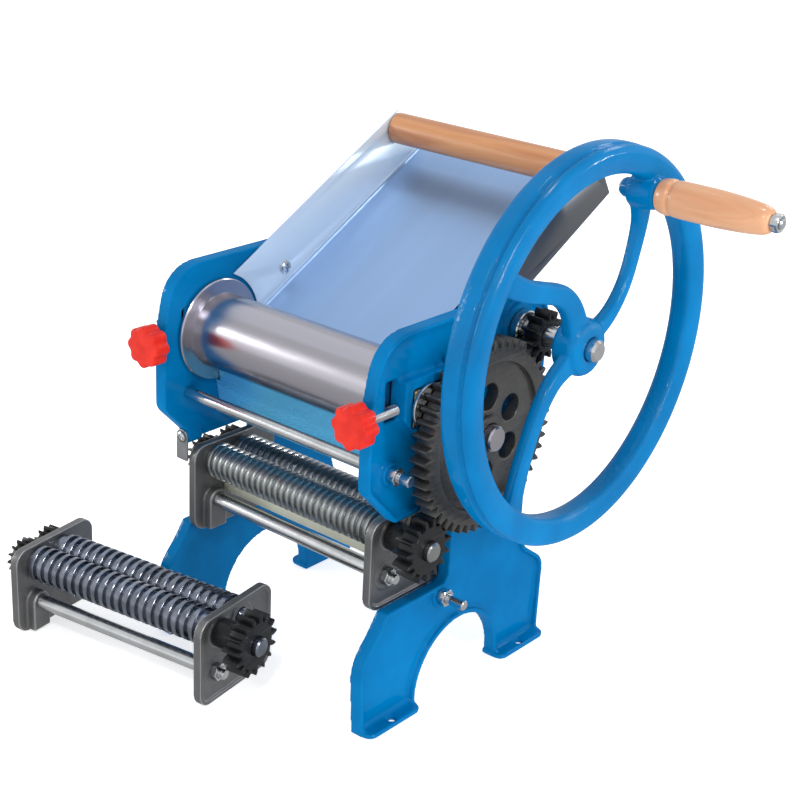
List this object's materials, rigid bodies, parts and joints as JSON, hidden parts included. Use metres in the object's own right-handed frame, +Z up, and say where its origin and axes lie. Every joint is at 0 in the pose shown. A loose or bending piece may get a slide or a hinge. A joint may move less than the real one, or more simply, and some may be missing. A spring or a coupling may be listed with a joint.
{
  "type": "noodle making machine",
  "caption": "Hand-cranked noodle machine: a geared pair of press rolls under a sloping feed tray, a push-in fluted cutter unit below, and a spare cutter beside it.",
  "frame": {"origin": "middle of the whole assembly's footprint, on the table top", "axes": "+X towards the hand wheel, along all the roll axes; -Y to the front, where the knobs are and the noodles leave; +Z up"},
  "size_m": [0.498, 0.403, 0.4394],
  "materials": {
    "enamel": "gloss blue enamel on rough cast iron",
    "zinc": "bright zinc plate",
    "polished_chrome": "polished",
    "fluted_steel": "machined",
    "bush_steel": "machined",
    "sheet": "bright stainless sheet",
    "brass": "machined",
    "red_plastic": "glossy, moulded round a steel screw",
    "wood": "varnished",
    "black_gear": "oiled black",
    "dark_cast": "dark grey casting",
    "cream_plastic": "cream"
  },
  "bodies": {
    "frame": {"cutter_left_nut": "zinc", "cutter_left_plate": "dark_cast", "cutter_right_nut": "zinc", "cutter_right_plate": "dark_cast", "cutter_spacer_rod": "zinc", "cutter_strip": "cream_plastic", "feed_tray": "sheet", "front_scraper": "sheet", "latch_screw": "zinc", "left_frame": "enamel", "left_roll_bush": "bush_steel", "left_shaft_bush": "bush_steel", "lower_left_nut": "zinc", "lower_right_nut": "zinc", "lower_tie_rod": "zinc", "rear_left_nut": "zinc", "rear_right_nut": "zinc", "rear_scraper": "sheet", "rear_tie_rod": "zinc", "right_frame": "enamel", "right_roll_bush": "bush_steel", "right_shaft_bush": "bush_steel", "spare_left_nut": "zinc", "spare_left_plate": "dark_cast", "spare_right_nut": "zinc", "spare_right_plate": "dark_cast", "spare_spacer_rod": "zinc", "tray_left_screw": "zinc", "tray_right_screw": "zinc", "upper_left_nut": "zinc", "upper_right_nut": "zinc", "upper_tie_rod": "zinc"},
    "crank": {"hand_wheel": "enamel", "drive_shaft": "zinc", "drive_pinion": "black_gear", "handle_bolt": "zinc", "handle_nut": "zinc"},
    "handle_grip": {"wooden_handle": "wood"},
    "rear_roll_set": {"rear_roll": "polished_chrome", "main_gear": "black_gear", "rear_roll_gear": "black_gear"},
    "carriage": {"right_bearing_block": "brass", "left_bearing_block": "brass"},
    "front_roll_set": {"front_roll": "polished_chrome", "front_roll_collar": "zinc", "front_roll_gear": "black_gear"},
    "right_knob_set": {"right_knob": "red_plastic"},
    "left_knob_set": {"left_knob": "red_plastic"},
    "dough_pin_set": {"dough_pin": "wood"},
    "cutter_front_set": {"cutter_front_roll": "fluted_steel", "cutter_drive_gear": "black_gear", "cutter_front_gear": "black_gear"},
    "cutter_rear_set": {"cutter_rear_roll": "fluted_steel", "cutter_rear_gear": "black_gear"},
    "spare_front_set": {"spare_front_roll": "fluted_steel", "spare_drive_gear": "black_gear", "spare_front_gear": "black_gear"},
    "spare_rear_set": {"spare_rear_roll": "fluted_steel", "spare_rear_gear": "black_gear"},
    "latch": {"latch_clip": "bush_steel"}
  },
  "joints": [
    {"name": "crank_spin", "type": "hinge", "parent": "frame", "child": "crank", "pos_m": [-0.03492, 0.04954, 0.28745], "axis": [1, 0, 0], "continuous": true},
    {"name": "handle_spin", "type": "hinge", "parent": "crank", "child": "handle_grip", "pos_m": [0.19508, 0.10954, 0.39495], "axis": [1, 0, 0], "continuous": true},
    {"name": "rear_roll_spin", "type": "hinge", "parent": "frame", "child": "rear_roll_set", "pos_m": [-0.03492, -0.01036, 0.2223], "axis": [1, 0, 0], "continuous": true},
    {"name": "roll_gap", "type": "slide", "parent": "frame", "child": "carriage", "axis": [0, 1, 0], "range_m": [0, 0.003]},
    {"name": "front_roll_spin", "type": "hinge", "parent": "carriage", "child": "front_roll_set", "pos_m": [-0.03492, -0.06317, 0.257], "axis": [1, 0, 0], "continuous": true},
    {"name": "right_knob_turn", "type": "hinge", "parent": "carriage", "child": "right_knob_set", "pos_m": [0.07058, -0.12246, 0.257], "axis": [0, 1, 0], "range_deg": [0, 720]},
    {"name": "left_knob_turn", "type": "hinge", "parent": "carriage", "child": "left_knob_set", "pos_m": [-0.14042, -0.12246, 0.257], "axis": [0, 1, 0], "range_deg": [0, 720]},
    {"name": "dough_pin_spin", "type": "hinge", "parent": "frame", "child": "dough_pin_set", "pos_m": [-0.03492, 0.14385, 0.38755], "axis": [1, 0, 0], "continuous": true},
    {"name": "cutter_front_spin", "type": "hinge", "parent": "frame", "child": "cutter_front_set", "pos_m": [-0.03492, -0.07146, 0.15021], "axis": [1, 0, 0], "continuous": true},
    {"name": "cutter_rear_spin", "type": "hinge", "parent": "frame", "child": "cutter_rear_set", "pos_m": [-0.03492, -0.04346, 0.15021], "axis": [1, 0, 0], "continuous": true},
    {"name": "spare_front_spin", "type": "hinge", "parent": "frame", "child": "spare_front_set", "pos_m": [-0.13492, -0.16346, 0.0582], "axis": [0.989, 0.1478, 0], "continuous": true},
    {"name": "spare_rear_spin", "type": "hinge", "parent": "frame", "child": "spare_rear_set", "pos_m": [-0.13906, -0.13577, 0.0582], "axis": [0.989, 0.1478, 0], "continuous": true},
    {"name": "latch_turn", "type": "hinge", "parent": "frame", "child": "latch", "pos_m": [-0.13812, -0.09646, 0.1728], "axis": [0, 1, 0], "range_deg": [0, 90]}
  ],
  "couplings": [
    {"joint": "rear_roll_spin", "follows": "crank_spin", "ratio": -0.22917},
    {"joint": "front_roll_spin", "follows": "crank_spin", "ratio": 0.22917},
    {"joint": "cutter_front_spin", "follows": "crank_spin", "ratio": 0.73333},
    {"joint": "cutter_rear_spin", "follows": "crank_spin", "ratio": -0.73333},
    {"joint": "right_knob_turn", "follows": "roll_gap", "rad_per_m": 4188.8},
    {"joint": "left_knob_turn", "follows": "roll_gap", "rad_per_m": 4188.8},
    {"joint": "spare_rear_spin", "follows": "spare_front_spin", "ratio": -1}
  ]
}
